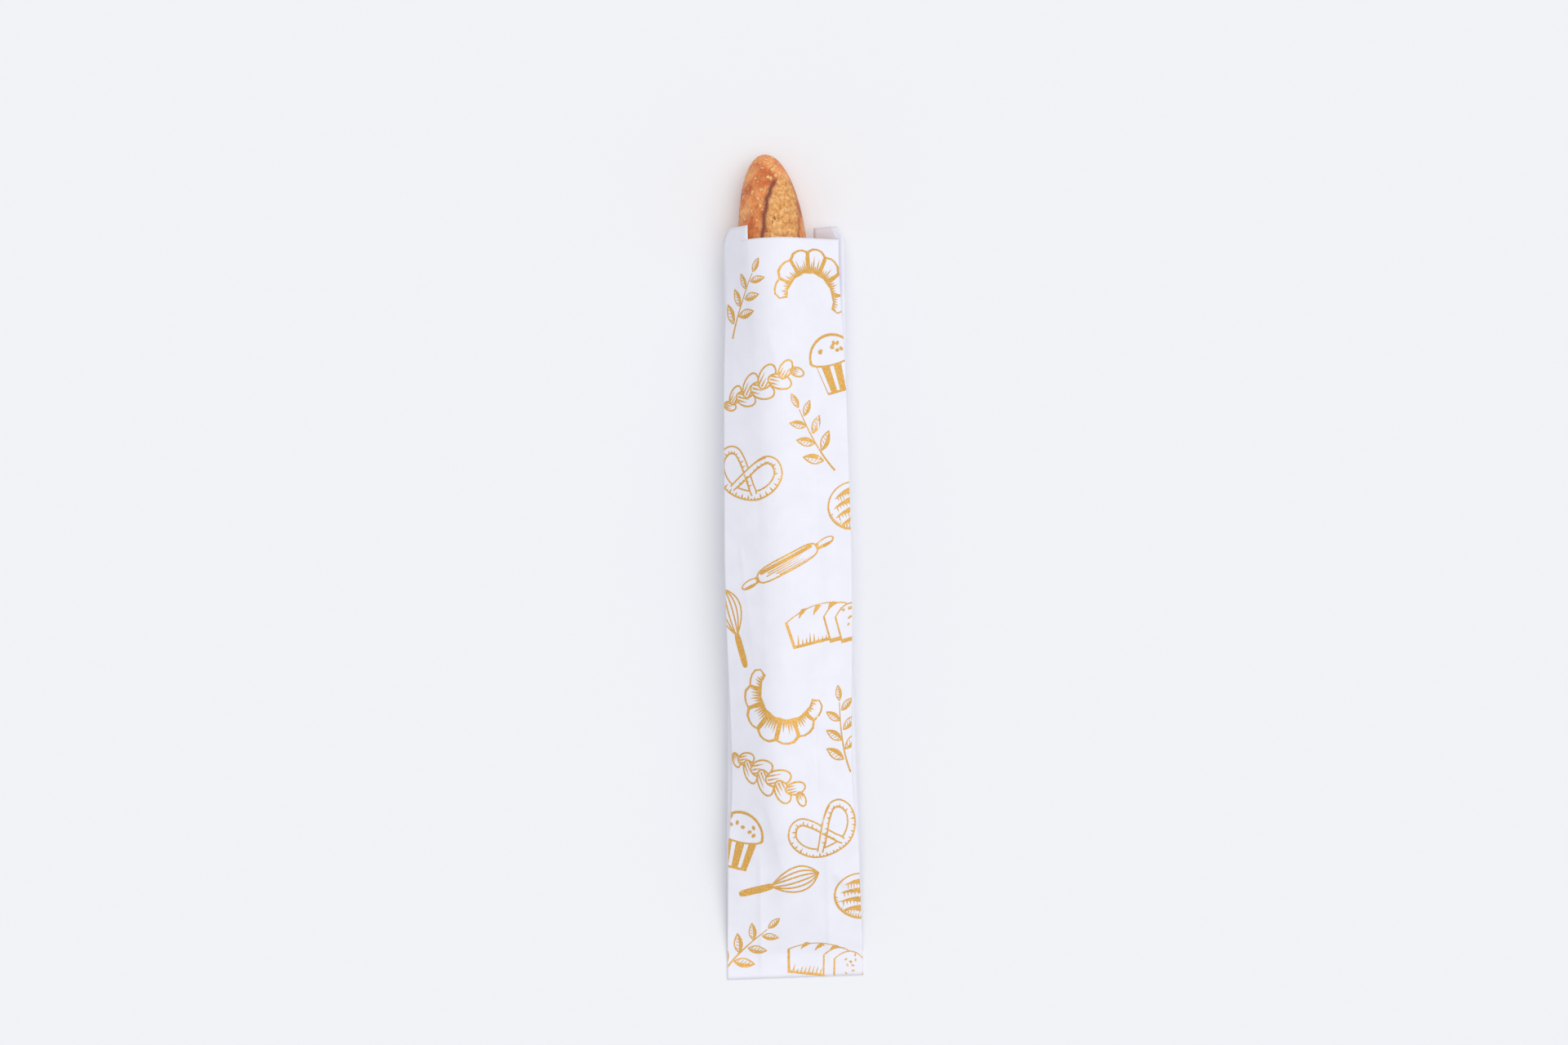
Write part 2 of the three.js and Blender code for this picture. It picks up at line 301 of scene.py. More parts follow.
def waveLift(s, y):
    slow = noise.noise(Vector((s / 34, y / 95, 3.1)))
    fine = noise.noise(Vector((s / 13 + y / 160, y / 60, 8.7)))
    tiny = noise.noise(Vector((s / 6, y / 17, 1.9)))
    return 0.95 * slow + 0.42 * fine + 0.1 * tiny


def aboveLeaf(s, lift):
    # the panel can't dip where a gusset's leaf lies close under it
    inward = min(s, bag["face"] - s) - bag["gusset"]
    deepest = lerp(bag["leafDip"], bag["openDip"], smooth(inward / 8))
    return lift if lift > 0 else deepest * math.tanh(lift / deepest)


def paperRows():
    # rows of points from the bottom to the mouth, each once round the bag
    count = round(bag["length"] / bag["rowStep"])
    rows = []
    m, n = bag["panelSteps"], bag["leafSteps"]
    leaf = [clamp(i / n * bag["gusset"] / bag["earSlant"], 0, 1) for i in range(n + 1)]
    flat = [0] * (m + 1)
    ears = ring(flat, [leaf, leaf[::-1]], flat, [leaf, leaf[::-1]])
    for i in range(count + 1):
        y = lerp(bag["firstRow"], bag["length"], i / count)
        section = sectionAt(y)
        stretch = clamp((y - bag["length"] + 2 * bag["earLength"]) / (2 * bag["earLength"]), 0, 1)
        lip = smooth((y - bag["length"] + bag["lipReach"]) / bag["lipReach"])
        calm = smooth((y - 3) / 30)
        row = []
        for j, (x, z) in enumerate(section):
            if j <= m:
                s = j / m * bag["face"]
                edge = smooth(min(s, bag["face"] - s) / 9)
                lift = waveLift(s, y) * edge * calm + creaseLift(s, y) * smooth(min(s, 101 - s) / 3)
                z += aboveLeaf(s, lift)
                tooth = bag["tooth"] * lip * (j % 2)
            else:
                tooth = 0
            far = y + stretch * ears[j] * bag["earLength"] + bag["skew"] * x / bag["face"] - tooth
            row.append(Vector((x, far - yMiddle, max(z, 0))) * mm)
        rows.append(row)
    return rows


def tubeObject(name, rows):
    # a grid laid over rows of points that each go once round, its seam welded
    bm = bmesh.new()
    around, high = len(rows[0]), len(rows) - 1
    bmesh.ops.create_grid(bm, x_segments=around, y_segments=high, size=0.5)
    for v in bm.verts:
        column = round((v.co.x + 0.5) * around) % around
        v.co = rows[round((v.co.y + 0.5) * high)][column]
    bmesh.ops.remove_doubles(bm, verts=bm.verts, dist=1e-7)
    bmesh.ops.recalc_face_normals(bm, faces=bm.faces)
    return finished(name, bm)


def finished(name, bm, smoothed=True):
    mesh = bpy.data.meshes.new(name)
    bm.to_mesh(mesh)
    bm.free()
    mesh.polygons.foreach_set("use_smooth", [smoothed] * len(mesh.polygons))
    obj = bpy.data.objects.new(name, mesh)
    bpy.context.scene.collection.objects.link(obj)
    return obj


# Materials

def addNode(tree, kind, inputs=None, links=None, **settings):
    node = tree.nodes.new(kind)
    for key, value in settings.items():
        setattr(node, key, value)
    for key, value in (inputs or {}).items():
        node.inputs[key].default_value = value
    for key, source in (links or {}).items():
        tree.links.new(source, node.inputs[key])
    return node


def newMaterial(name):
    material = bpy.data.materials.new(name)
    material.use_nodes = True
    return material, material.node_tree, material.node_tree.nodes["Principled BSDF"]


def ramp(tree, source, stops):
    node = addNode(tree, "ShaderNodeValToRGB", links={"Fac": source})
    bar = node.color_ramp
    while len(bar.elements) < len(stops):
        bar.elements.new(0.5)
    for element, (place, code) in zip(bar.elements, stops):
        element.position = place
        element.color = srgb(code)
    return node


def whitePaper():
    # bleached machine-glazed bag paper, about 45 g
    material, tree, shader = newMaterial("bleached bag paper")
    place = addNode(tree, "ShaderNodeTexCoord").outputs["Object"]
    cloud = addNode(tree, "ShaderNodeTexNoise", {"Scale": 55.0, "Detail": 3.0}, {"Vector": place})
    tone = ramp(tree, cloud.outputs["Fac"], [(0.35, "#EBEBF5"), (0.65, "#EFEFF8")])
    tree.links.new(tone.outputs["Color"], shader.inputs["Base Color"])
    fibre = addNode(tree, "ShaderNodeTexNoise", {"Scale": 900.0, "Detail": 4.0}, {"Vector": place})
    bump = addNode(tree, "ShaderNodeBump", {"Strength": 0.12, "Distance": 0.0001},
                   {"Height": fibre.outputs["Fac"]})
    tree.links.new(bump.outputs["Normal"], shader.inputs["Normal"])
    shader.inputs["Roughness"].default_value = 0.62
    shader.inputs["Specular IOR Level"].default_value = 0.35
    return material


def goldInk():
    # flexo ink with bronze flakes, dull gold
    material, tree, shader = newMaterial("gold flexo ink")
    place = addNode(tree, "ShaderNodeTexCoord").outputs["Object"]
    flake = addNode(tree, "ShaderNodeTexNoise", {"Scale": 1500.0, "Detail": 2.0}, {"Vector": place})
    tone = ramp(tree, flake.outputs["Fac"], [(0.3, "#C48E3A"), (0.5, "#D9A54C"), (0.72, "#F0C878")])
    tree.links.new(tone.outputs["Color"], shader.inputs["Base Color"])
    shader.inputs["Metallic"].default_value = 0.25
    shader.inputs["Roughness"].default_value = 0.48
    return material


def crust():
    # oven-baked wheat crust: reddish brown skin with golden blisters, and pale torn slashes whose pores are
    # painted darker as shade
    material, tree, shader = newMaterial("baked bread crust")
    place = addNode(tree, "ShaderNodeTexCoord").outputs["Object"]

    def noiseAt(scale, detail, roughness=0.6):
        inputs = {"Scale": scale, "Detail": detail, "Roughness": roughness}
        return addNode(tree, "ShaderNodeTexNoise", inputs, {"Vector": place}).outputs["Fac"]

    def mixed(factor, below, above):
        node = addNode(tree, "ShaderNodeMix", data_type="RGBA", links={"Factor": factor, 6: below})
        if isinstance(above, str):
            node.inputs[7].default_value = srgb(above)
        else:
            tree.links.new(above, node.inputs[7])
        return node.outputs[2]

    def product(a, b):
        return addNode(tree, "ShaderNodeMath", operation="MULTIPLY", links={0: a, 1: b}).outputs[0]

    bend = addNode(tree, "ShaderNodeTexNoise", {"Scale": 260.0, "Detail": 2.0}, {"Vector": place})
    warp = addNode(tree, "ShaderNodeVectorMath", operation="MULTIPLY_ADD",
                   links={0: bend.outputs["Color"], 2: place})
    warp.inputs[1].default_value = (0.0034, 0.0060, 0.0034)
    skin = ramp(tree, noiseAt(75.0, 5.0), [(0.34, "#C4602F"), (0.52, "#F09858"), (0.72, "#FBBD78")])
    cells = addNode(tree, "ShaderNodeTexVoronoi", {"Scale": 225.0}, {"Vector": warp.outputs["Vector"]})
    spots = ramp(tree, cells.outputs["Distance"], [(0.3, "#FFFFFF"), (0.38, "#000000")]).outputs["Color"]
    some = ramp(tree, noiseAt(150.0, 3.0), [(0.36, "#000000"), (0.48, "#FFFFFF")]).outputs["Color"]
    rims = ramp(tree, cells.outputs["Distance"], [(0.42, "#A0A0A0"), (0.55, "#000000")]).outputs["Color"]
    rimmed = mixed(product(rims, some), skin.outputs["Color"], "#9C4522")
    blistered = mixed(product(spots, some), rimmed, "#F4BA76")
    bloom = ramp(tree, noiseAt(95.0, 4.0), [(0.56, "#000000"), (0.74, "#8C8C8C")]).outputs["Color"]
    dusted = mixed(bloom, blistered, "#D3A793")
    opened = addNode(tree, "ShaderNodeAttribute", attribute_name="opened").outputs["Fac"]
    scorched = addNode(tree, "ShaderNodeAttribute", attribute_name="scorched").outputs["Fac"]
    crumb = noiseAt(330.0, 8.0, 0.72)
    torn = ramp(tree, crumb, [(0.3, "#B56C30"), (0.48, "#E09A54"), (0.62, "#F3C584")])
    holes = addNode(tree, "ShaderNodeTexVoronoi", {"Scale": 150.0}, {"Vector": warp.outputs["Vector"]})
    # painted shade: the pores in the slashes are coloured darker, standing in for the shade inside the holes
    poreShade = ramp(tree, holes.outputs["Distance"], [(0.1, "#FFFFFF"), (0.2, "#000000")]).outputs["Color"]
    poreShaded = mixed(poreShade, torn.outputs["Color"], "#A8612C")
    cut = mixed(opened, dusted, poreShaded)
    burnt = mixed(scorched, cut, "#7A3A2C")
    tree.links.new(burnt, shader.inputs["Base Color"])
    rough = addNode(tree, "ShaderNodeMath", operation="ADD",
                    links={0: crumb, 1: product(spots, some)}).outputs[0]
    bump = addNode(tree, "ShaderNodeBump", {"Strength": 0.7, "Distance": 0.0008}, {"Height": rough})
    tree.links.new(bump.outputs["Normal"], shader.inputs["Normal"])
    shader.inputs["Roughness"].default_value = 0.55
    shader.inputs["Specular IOR Level"].default_value = 0.4
    return material


def plainFloor():
    material, tree, shader = newMaterial("pale table top")
    shader.inputs["Base Color"].default_value = srgb("#F0F1F4")
    shader.inputs["Roughness"].default_value = 0.9
    shader.inputs["Specular IOR Level"].default_value = 0.1
    return material


paperMaterial = whitePaper()
inkMaterial = goldInk()

# The bag's sheet
rows = paperRows()
sheet = tubeObject("printed_paper_sheet", rows)
sheet.data.materials.append(paperMaterial)
thick = sheet.modifiers.new("paper thickness", "SOLIDIFY")
thick.thickness = bag["wall"] * mm
thick.offset = -1
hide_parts("paper_bag")
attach(sheet, "root")


def turnedBottom():
    # the end turned under the back panel and glued
    bm = bmesh.new()
    bmesh.ops.create_cube(bm, size=1.0)
    height = bag["lapThickness"] + bag["stack"] - bag["layerGap"]
    for v in bm.verts:
        x = v.co.x * (bag["face"] - bag["lapShy"])
        y = (v.co.y + 0.5) * bag["lap"] + bag["skew"] * x / bag["face"] - yMiddle
        v.co = Vector((x, y, (v.co.z + 0.5) * height)) * mm
    bmesh.ops.bevel(bm, geom=bm.edges[:], offset=bag["lapRound"] * mm, segments=2, affect="EDGES",
                    profile=0.5, material=-1)
    obj = finished("turned_bottom", bm, False)
    obj.data.materials.append(paperMaterial)
    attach(obj, "root")


turnedBottom()
print("bag built")


# The print: simple bakery shapes in gold, laid out on the flat front panel and then bent with it

ink = []  # (outline points in mm, gold or bare), painted in order

# bare edge at the creases and at the lip, cells across the panel, and the ink's height over the paper
printSizes = {"margin": 0.3, "top": 3.2, "columns": 48, "proud": 0.1, "seed": 7}


def turned(points, place):
    # local points to the panel: place is (x, y, degrees, scale)
    c, s = math.cos(math.radians(place[2])) * place[3], math.sin(math.radians(place[2])) * place[3]
    return [(place[0] + x * c - y * s, place[1] + x * s + y * c) for x, y in points]


def shape(points, place, gold=True):
    ink.append((turned(points, place), gold))


def oval(x, y, a, b, degrees, steps):
    c, s = math.cos(math.radians(degrees)), math.sin(math.radians(degrees))
    turns = [i / steps * 2 * math.pi for i in range(steps)]
    rim = [(a * math.cos(t), b * math.sin(t)) for t in turns]
    return [(x + u * c - v * s, y + u * s + v * c) for u, v in rim]


def stroke(points, widths):
    # a pen stroke along points; widths at its start, middle and end
    left, right = [], []
    last = len(points) - 1
    for i, (x, y) in enumerate(points):
        x0, y0 = points[max(0, i - 1)]
        x1, y1 = points[min(last, i + 1)]
        size = math.hypot(x1 - x0, y1 - y0) or 1
        t = i / last
        w = (lerp(widths[0], widths[1], t * 2) if t < 0.5 else lerp(widths[1], widths[2], t * 2 - 1)) / 2
        left.append((x - (y1 - y0) / size * w, y + (x1 - x0) / size * w))
        right.append((x + (y1 - y0) / size * w, y - (x1 - x0) / size * w))
    return left + right[::-1]


def curve(start, bend, end, steps=9):
    # points of a gentle bow from start to end, pulled towards bend
    return [tuple((1 - t) ** 2 * a + 2 * t * (1 - t) * b + t * t * c for a, b, c in zip(start, bend, end))
            for t in (i / steps for i in range(steps + 1))]


def hatch(x0, y0, x1, y1, place, width):
    # a short tapering line of shading
    shape(stroke([(x0, y0), ((x0 + x1) / 2, (y0 + y1) / 2), (x1, y1)], (width, width * 0.7, 0.15)), place)


def leafSprig(place, leaves=6):
    # a bay sprig: broad veined leaves that stand by turns on both sides, one at the tip; it points to +x
    shape(stroke(curve((-24, -4), (0, 3), (8 + leaves * 5, 0), 14), (1.8, 1.4, 0.8)), place)
    for i in range(leaves + 1):
        side = 0 if i == leaves else 1 - 2 * (i % 2)
        x, size = -12 + i * 8.5, 1.0 - 0.05 * i
        tilt = math.radians(side * 52)
        c, s = math.cos(tilt) * size, math.sin(tilt) * size

        def onLeaf(points):
            return [(x + u * c - v * s, side * 0.8 + u * s + v * c) for u, v in points]

        rim = curve((0, 0), (9, 9), (21, 0), 10) + curve((21, 0), (9, -9), (0, 0), 10)[1:-1]
        bare = curve((2, 0), (9, 6.6), (18.6, 0), 10) + curve((18.6, 0), (9, -1), (2, 0), 10)[1:-1]
        shape(onLeaf(rim), place)
        shape(onLeaf(bare), place, False)
        for k in range(4):
            vein = [(4 + k * 3.4, 0), (5.3 + k * 3.4, 1.4), (6.4 + k * 3.4, 2.6)]
            shape(stroke(onLeaf(vein), (0.8, 0.7, 0.3)), place)


def roundedBlock(length, width, inset=0.0):
    # a bar with well rounded corners, about the local origin
    steps, points = 40, []
    for i in range(steps):
        t = i / steps * 2 * math.pi
        c, s = math.cos(t), math.sin(t)
        x = math.copysign(abs(c) ** 0.5, c) * (length / 2 - inset)
        points.append((x, math.copysign(abs(s) ** 0.6, s) * (width / 2 - inset)))
    return points


def plaitedLoaf(place, rng, length=74, width=23):
    # a plait of fat strands that lie over each other by turns, tapering at both ends
    strands = 9
    for i in range(strands):
        t = i / (strands - 1) * 2 - 1
        x = t * (length / 2 - 7)
        swell = 1 - 0.42 * t * t
        side = 1 if i % 2 else -1
        y, tilt = side * width * 0.17 * swell, side * 38
        a, b = width * 0.46 * swell, width * 0.29 * swell
        shape(oval(x, y, a, b, tilt, 24), place)
        shape(oval(x, y, a - 1.3, b - 1.3, tilt, 24), place, False)
        c, s = math.cos(math.radians(tilt)), math.sin(math.radians(tilt))
        for k in (-1, 0, 1):
            u0, u1, v = -a * 0.78, a * rng.uniform(-0.1, 0.3), k * b * 0.42
            hatch(x + u0 * c - v * s, y + u0 * s + v * c, x + u1 * c - v * s, y + u1 * s + v * c, place, 1.5)


def muffin(place, rng, width=30):
    # a pleated paper cup under a domed top with currants
    half = width / 2
    cup = [(-half * 0.86, 0), (half * 0.86, 0), (half * 0.62, -20), (-half * 0.62, -20)]
    shape(cup, place)
    for i in range(6):
        left, right = -0.86 + i * 0.287 + 0.04, -0.86 + (i + 1) * 0.287 - 0.05
        foot = 0.62 / 0.86
        shape([(half * left, -1.4), (half * right, -1.4),
               (half * right * foot, -18.6), (half * left * foot, -18.6)], place, i % 2 == 1)
    turns = [k / 32 * 2 * math.pi for k in range(32)]
    dome = [(half * 1.1 * math.cos(a), 1 + (15 if math.sin(a) > 0 else 4.5) * math.sin(a)) for a in turns]
    shape(dome, place)
    shape([(x * 0.9, (y - 4) * 0.86 + 4) for x, y in dome], place, False)
    for _ in range(8):
        shape(oval(rng.uniform(-10, 10), rng.uniform(2, 12), 1.5, 1.1, rng.uniform(0, 180), 10), place)


def whisk(place):
    # a wire whisk: a solid handle and three nested loops
    shape(roundedBlock(26, 5.2), place)
    for wide in (9.5, 5.6, 1.8):
        for side in (-1, 1):
            loop = curve((12, side * 0.8), (34, side * wide * 1.9), (46, 0), 12)
            shape(stroke(loop, (1.1, 1.2, 1.1)), place)


def rope(corners, steps=5):
    # a smooth line through its corners
    ends = [corners[0]] + corners + [corners[-1]]
    points = []
    for a, b, c, d in zip(ends, ends[1:], ends[2:], ends[3:]):
        for k in range(steps):
            t = k / steps
            points.append(tuple(
                0.5 * (2 * q + (r - p) * t + (2 * p - 5 * q + 4 * r - w) * t * t
                       + (3 * q - p - 3 * r + w) * t ** 3)
                for p, q, r, w in zip(a, b, c, d)))
    return points + [corners[-1]]


def pretzel(place, rng):
    # a rope of dough crossed over itself, its two ends laid on the lower bow
    half = [(0, -18), (14, -15.5), (24, -7), (27.5, 4), (23, 13),
            (15, 14.5), (7, 8), (0, -1), (-6, -9), (-11, -16)]
    other = [(-x, y) for x, y in half[1:]]
    whole = rope(other[::-1] + half)
    end = rope(half[5:])
    tail = 5.6
    for line, wide in ((whole, 8.8), (end, 7.0), (rope([(-x, y) for x, y in half[8:]]), 7.0)):
        shape(stroke(line, (tail, wide, tail)), place)
        shape(stroke(line, (tail - 2.6, wide - 2.6, tail - 2.6)), place, False)
    for i in range(4, len(whole) - 4):
        x0, y0 = whole[i - 1]
        x1, y1 = whole[i + 1]
        size = math.hypot(x1 - x0, y1 - y0)
        nx, ny = (y1 - y0) / size, (x0 - x1) / size
        side = 1 if ny < 0.2 else -1
        x, y = whole[i]
        depth = rng.uniform(2.4, 4.8) if i % 2 else 1.6
        hatch(x + nx * side * 3.5, y + ny * side * 3.5,
              x + nx * side * (3.5 - depth), y + ny * side * (3.5 - depth), place, 1.9)


def roundLoaf(place, rng, radius=24):
    # a round loaf with four curved cuts, its lower side in shade
    shape(oval(0, 0, radius, radius * 0.86, 0, 48), place)
    shape(oval(0.2, 0.4, radius - 1.5, radius * 0.86 - 1.5, 0, 48), place, False)
    for i in range(4):
        y = radius * (0.5 - 0.33 * i)
        half = radius * math.sqrt(max(0.05, 1 - (y / radius / 0.86) ** 2)) * 0.76
        bow = curve((-half, y - 3), (0, y + 5), (half, y - 3), 12)
        shape(stroke(bow, (0.6, 5.4, 0.6)), place)
        for k in range(1, 12):
            px, py = bow[k]
            hatch(px, py, px + 0.8, py - rng.uniform(3.5, 6.5), place, 1.4)
    for i in range(24):
        a = math.radians(190 + i * 6.6)
        out = radius - 1.0
        deep = rng.uniform(2, 5.5)
        hatch(out * math.cos(a), out * 0.86 * math.sin(a),
              (out - deep) * math.cos(a), (out - deep) * 0.86 * math.sin(a), place, 1.4)


def croissant(place, rng, radius=25):
    # a crescent in seven rolled turns, each shaded from its inner edge
    turns = 7
    edges = []
    for i in range(turns + 1):
        a = math.radians(200 - i * 220 / turns)
        thick = radius * (0.26 + 0.46 * math.sin(math.pi * i / turns))
        edges.append((a, radius - thick * 0.5, radius + thick * 0.5))
    drop = radius * 0.4
    for i in range(turns):
        (a0, in0, out0), (a1, in1, out1) = edges[i], edges[i + 1]
        am = (a0 + a1) / 2
        inM, outM = (in0 + in1) / 2 + 0.6, (out0 + out1) / 2 + 2.4
        corners = [(a0, in0), (a0, (in0 + out0) / 2), (a0, out0), (lerp(a0, am, 0.5), outM),
                   (am, outM + 0.5), (lerp(am, a1, 0.5), outM), (a1, out1),
                   (a1, (in1 + out1) / 2), (a1, in1), (am, inM)]
        block = [(r * math.cos(a), r * math.sin(a) - drop) for a, r in corners]
        middle = (sum(p[0] for p in block) / len(block), sum(p[1] for p in block) / len(block))
        shape(block, place)
        shape([(lerp(x, middle[0], 0.24), lerp(y, middle[1], 0.15)) for x, y in block], place, False)
        for k in range(6):
            a = lerp(a0, a1, (k + 0.6) / 6.4)
            inner = lerp(in0, in1, (k + 0.6) / 6.4) + 0.6
            deep = (lerp(out0, out1, 0.5) - inner) * rng.uniform(0.35, 0.8)
            hatch(inner * math.cos(a), inner * math.sin(a) - drop,
                  (inner + deep) * math.cos(a), (inner + deep) * math.sin(a) - drop, place, 1.9)


def rollingPin(place, rng, length=62, width=15):
    # a barrel with grain lines, a collar and a turned handle at each end
    half = length / 2
    for side in (-1, 1):
        x = side * (half + 8.5)
        shape(oval(x, 0, 9.5, 3.9, 0, 20), place)
        shape(oval(x, 0.3, 8.0, 2.5, 0, 20), place, False)
        hatch(x - 6, -1.6, x + 6, -1.6, place, 1.8)
        inner, outer = side * (half - 1), side * (half + 1.8)
        shape([(outer, 3), (inner, 3), (inner, -3), (outer, -3)], place)
    shape(roundedBlock(length, width), place)
    shape(roundedBlock(length, width, 1.4), place, False)
    high, low = width * 0.34, width * 0.12
    shape([(-half + 3, high), (half - 3, high), (half - 5, low), (-half + 5, low)], place)
    for i in range(4):
        y = -width * 0.36 + i * 1.9
        start = rng.uniform(-half * 0.8, -half * 0.3)
        hatch(start, y, start + length * rng.uniform(0.35, 0.6), y + 0.3, place, 1.1)


def tinLoaf(place, rng, length=50, height=30):
    # a tin loaf from its side, with a risen top and two slices cut off in front
    def crown(x0, x1, base):
        bow = curve((x0 - 2.5, base), ((x0 + x1) / 2, base + height * 0.52), (x1 + 2.5, base), 10)
        return bow + [(x1, base - height * 0.62), (x0, base - height * 0.62)]

    def smaller(outline, share):
        mx = sum(p[0] for p in outline) / len(outline)
        my = sum(p[1] for p in outline) / len(outline)
        return [(lerp(x, mx, share * 0.7), lerp(y, my, share)) for x, y in outline]

    body = crown(-length / 2, length / 2, 2)
    shape(body, place)
    shape(smaller(body, 0.1), place, False)
    for i in range(3):
        x = -length * 0.34 + i * 11
        shape(stroke(curve((x, 3), (x + 3, 9), (x + 7, 8)), (0.5, 3.4, 0.5)), place)
    for i in range(14):
        x = -length * 0.42 + i * 3
        hatch(x, -height * 0.52, x + 1, -height * 0.52 + rng.uniform(2.5, 7.5), place, 1.3)
    for i in range(2):
        face = [(x * 0.78 + length * 0.27 + i * 8.5, y - 1 - i * 2.2) for x, y in crown(-14, 14, 1)]
        shape(face, place)
        shape(smaller(face, 0.14), place, False)
    for _ in range(9):
        x, y = length * 0.27 + 8.5 + rng.uniform(-7, 7), rng.uniform(-14, 3)
        shape(oval(x, y, 1.3, 0.7, rng.uniform(0, 180), 8), place)


def drawPrint():
    rng = random.Random(printSizes["seed"])
    leafSprig((14, 488, 62, 0.8))
    croissant((76, 508, -12, 0.92), rng)
    muffin((90, 452, 14, 1.2), rng)
    plaitedLoaf((32, 434, 22, 0.98), rng)
    leafSprig((76, 388, 118, 0.84))
    pretzel((20, 372, -16, 0.88), rng)
    roundLoaf((102, 346, 12, 0.85), rng)
    rollingPin((50, 306, 26, 0.82), rng)
    whisk((12, 244, 106, 1.0))
    tinLoaf((76, 266, 10, 1.05), rng)
    croissant((42, 202, 152, 0.96), rng)
    leafSprig((93, 172, 96, 0.84))
    plaitedLoaf((32, 152, -28, 1.0), rng)
    muffin((8, 108, -12, 1.2), rng)
    pretzel((74, 112, 22, 0.88), rng)
    whisk((22, 68, 14, 1.05))
    roundLoaf((100, 60, -8, 0.85), rng)
    leafSprig((6, 16, 42, 0.84))
    tinLoaf((70, 16, -8, 0.95), rng)


def insidePolygon(outline, x, y):
    # even-odd test of many points at once
    px = np.array([p[0] for p in outline])
    py = np.array([p[1] for p in outline])
    qx, qy = np.roll(px, -1), np.roll(py, -1)
    inside = np.zeros(len(x), bool)
    for ax, ay, bx, by in zip(px, py, qx, qy):
        if ay == by:
            continue
        crosses = (ay > y) != (by > y)
        inside ^= crosses & (x < (bx - ax) * (y - ay) / (by - ay) + ax)
    return inside


def paintedTriangles(verts, tris):
    # which triangles of the flat layer end up gold once every shape is painted in turn
    flat = np.array([(v[0], v[1]) for v in verts])
    centre = flat[np.array(tris)].mean(1)
    order = np.argsort(centre[:, 1])
    ys = centre[order, 1]
    gold = np.zeros(len(tris), bool)
    for outline, isGold in ink:
        oy = [p[1] for p in outline]
        ox = [p[0] for p in outline]
        near = order[np.searchsorted(ys, min(oy)):np.searchsorted(ys, max(oy))]
        near = near[(centre[near, 0] > min(ox)) & (centre[near, 0] < max(ox))]
        hit = insidePolygon(outline, centre[near, 0], centre[near, 1])
        gold[near[hit]] = isGold
    margin, top = printSizes["margin"], printSizes["top"]
    edge = ((centre[:, 0] > margin) & (centre[:, 0] < bag["face"] - margin)
            & (centre[:, 1] > margin) & (centre[:, 1] < bag["length"] - top))
    return gold & edge


def printedInk():
    # cut the painted shapes into one flat layer, then bend it with the paper
    drawPrint()
    points, edges = [], []
    face, top = bag["face"], bag["length"]

    def addLoop(outline):
        start, count = len(points), len(outline)
        points.extend(Vector(p) for p in outline)
        edges.extend((start + i, start + (i + 1) % count) for i in range(count))

    for outline, _ in ink:
        if max(p[0] for p in outline) > 0 and min(p[0] for p in outline) < face:
            addLoop(outline)
    low, side, high = printSizes["margin"], face - printSizes["margin"], top - printSizes["top"]
    addLoop([(low, low), (side, low), (side, high), (low, high)])
    for i in range(1, printSizes["columns"]):
        x = i * face / printSizes["columns"]
        addLoop([(x, 0), (x, top)])
    for i in range(1, len(rows) - 1):
        y = i * top / (len(rows) - 1)
        addLoop([(0, y), (face, y)])
    verts, _, tris, _, _, _ = delaunay_2d_cdt(points, edges, [], 0, 1e-4, False)
    gold = paintedTriangles(verts, tris)
    bm = bmesh.new()
    made = {}
    for tri, painted in zip(tris, gold):
        if painted:
            for k in tri:
                if k not in made:
                    made[k] = bm.verts.new(onPaper(verts[k]))
            bm.faces.new([made[k] for k in tri])
    for f in bm.faces:
        f.normal_update()
        if f.normal.z < 0:
            f.normal_flip()
    print("ink faces", len(bm.faces))
    obj = finished("gold_print", bm)
    obj.data.materials.append(inkMaterial)
    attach(obj, "root")


def onPaper(flat):
    # a point of the flat front panel, on the bent paper, just proud of it
    steps, high = bag["panelSteps"], len(rows) - 1
    u = clamp(flat[0] / bag["face"], 0, 1) * steps
    v = clamp(flat[1] / bag["length"], 0, 1) * high
    i, j = min(int(u), steps - 1), min(int(v), high - 1)
    a, b, c, d = rows[j][i], rows[j][i + 1], rows[j + 1][i + 1], rows[j + 1][i]
    fu, fv = u - i, v - j
    low = a.lerp(b, fu)
    up = d.lerp(c, fu)
    normal = (c - a).cross(d - b).normalized()
    return low.lerp(up, fv) + normal * printSizes["proud"] * mm


printedInk()
print("print laid on")


# The loaf

def slashAt(y, turn):
    # how deep, how far opened and how scorched the crust is here
    if math.sin(turn) <= 0:
        return 0, 0, 0
    pitch = (loaf["length"] - loaf["slashLength"]) / (loaf["slashes"] - 1)
    x = math.cos(turn) * loaf["width"] / 2 * loafShare(y)
    lift = opened = scorched = 0
    for i in range(loaf["slashes"]):
        middle = loafTip - loaf["slashLength"] / 2 - i * pitch * loaf["spread"] - loaf["setback"]
        c, s = math.cos(loaf["slashTurn"]), math.sin(loaf["slashTurn"])
        u = (y - middle) * c - x * s
        ragged = 0.9 * noise.noise(Vector((x / 9, y / 5, i)))
        v = x * c + (y - middle) * s - loaf["offset"] + ragged
        reach = 1 - (abs(u) / (loaf["slashLength"] / 2)) ** loaf["slashFullness"]
        if reach <= 0:
            continue
        half = loaf["slashWidth"] / 2 * math.sqrt(reach)
        if abs(v) < half:
            lift -= loaf["slashDepth"] * reach * (1 - (v / half) ** 2)
            opened = max(opened, smooth((half - abs(v)) / loaf["slashEdge"]))
        lip = (v + half) / loaf["ridgeWidth"]
        lift += loaf["ridge"] * reach * math.exp(-lip * lip)
        scorched = max(scorched, smooth(reach * 3) * math.exp(-((v + half + 0.7) / 1.7) ** 2))
        scorched = max(scorched, 0.55 * smooth(reach * 3) * math.exp(-((v - half - 0.5) / 1.1) ** 2))
    return lift, opened, scorched


